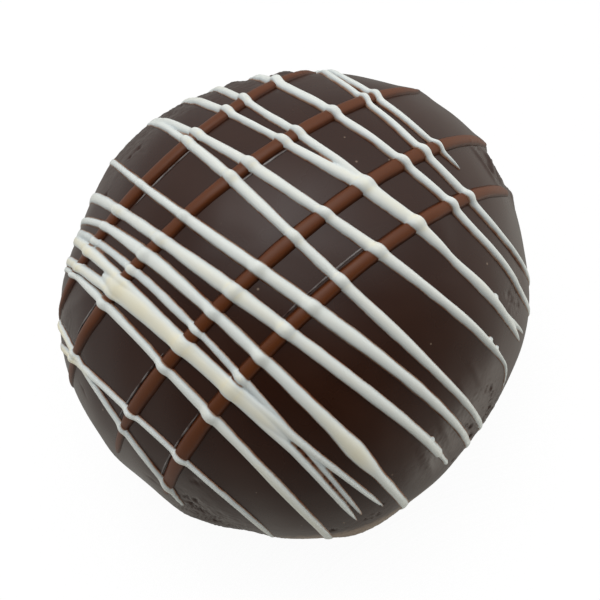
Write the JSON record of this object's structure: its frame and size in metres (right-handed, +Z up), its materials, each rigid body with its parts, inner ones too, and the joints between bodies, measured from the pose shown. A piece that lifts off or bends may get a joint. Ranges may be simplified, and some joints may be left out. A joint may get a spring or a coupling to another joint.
{
  "type": "chocolate truffle",
  "caption": "Round dark chocolate truffle with a flattened ball shape and a flat underside, drizzled with milk and white chocolate threads.",
  "frame": {"origin": "centre of the flat spot on the underside, at the level the truffle stands on", "axes": "+Z up through the top of the truffle, +X and +Y level"},
  "size_m": [0.0369, 0.0368, 0.0258],
  "materials": {
    "dark_chocolate": "satin",
    "milk_chocolate": "satin",
    "white_chocolate": "satin"
  },
  "bodies": {
    "root": {"truffle_body": "dark_chocolate", "milk_thread_1": "milk_chocolate", "milk_thread_2": "milk_chocolate", "milk_thread_3": "milk_chocolate", "milk_thread_4": "milk_chocolate", "white_thread_01": "white_chocolate", "white_thread_02": "white_chocolate", "white_thread_03": "white_chocolate", "white_thread_04": "white_chocolate", "white_thread_05": "white_chocolate", "white_thread_06": "white_chocolate", "white_thread_07": "white_chocolate", "white_thread_08": "white_chocolate", "white_thread_09": "white_chocolate", "white_thread_10": "white_chocolate", "white_thread_11": "white_chocolate"}
  },
  "joints": []
}
